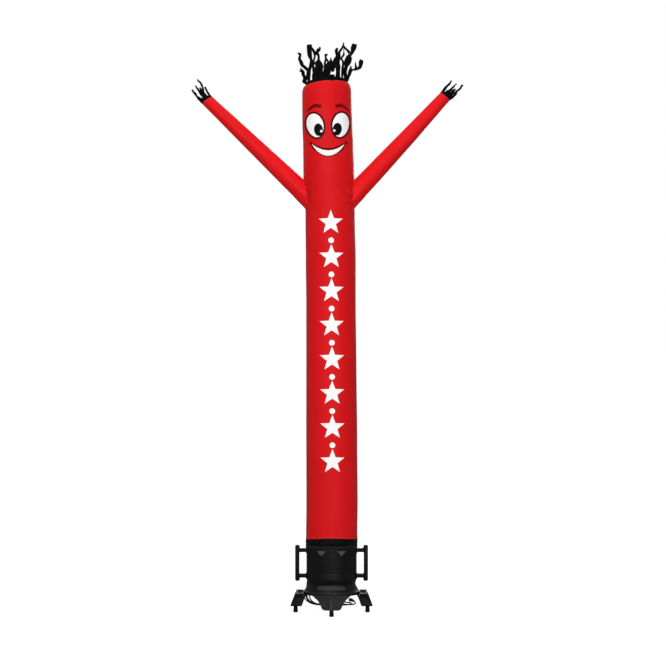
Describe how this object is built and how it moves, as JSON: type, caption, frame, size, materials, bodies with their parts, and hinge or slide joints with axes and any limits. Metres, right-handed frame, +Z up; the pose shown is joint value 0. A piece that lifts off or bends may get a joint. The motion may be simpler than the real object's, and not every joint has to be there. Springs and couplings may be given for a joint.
{
  "type": "inflatable air dancer with its blower",
  "caption": "Tall cloth tube figure with two tapered sleeve arms and cut fringes, standing on the floor blower that inflates it, with a power cord.",
  "frame": {"origin": "on the floor, under the middle of the whole shape without its cord", "axes": "+Z up along the tube, -Y the way the face looks, +X to the right of somebody who faces it"},
  "size_m": [1.6229, 0.7952, 3.3591],
  "materials": {
    "red_nylon": "coated woven nylon with a soft sheen",
    "black_nylon": "coated woven nylon",
    "webbing": "woven strap",
    "housing": "moulded, fine texture",
    "foot_rubber": "matte",
    "guard": "black powder coat",
    "cord_jacket": "smooth jacket"
  },
  "bodies": {
    "root": {"body_tube": "red_nylon", "arm_left": "red_nylon", "arm_right": "red_nylon", "hair_fringe": "black_nylon", "hand_fringe_left": "black_nylon", "hand_fringe_right": "black_nylon", "cuff": "black_nylon", "cinch_strap": "webbing", "drum": "housing", "base_ring": "housing", "handle_left": "housing", "handle_right": "housing", "lug_1": "housing", "lug_2": "housing", "lug_3": "housing", "lug_4": "housing", "leg_front": "housing", "leg_back": "housing", "leg_left": "housing", "leg_right": "housing", "foot_front": "foot_rubber", "foot_back": "foot_rubber", "foot_left": "foot_rubber", "foot_right": "foot_rubber", "inlet_guard": "guard", "gland": "cord_jacket", "cord_lead": "cord_jacket", "cord_coil": "cord_jacket", "cord_tail": "cord_jacket", "cord_plug": "cord_jacket"}
  },
  "joints": []
}
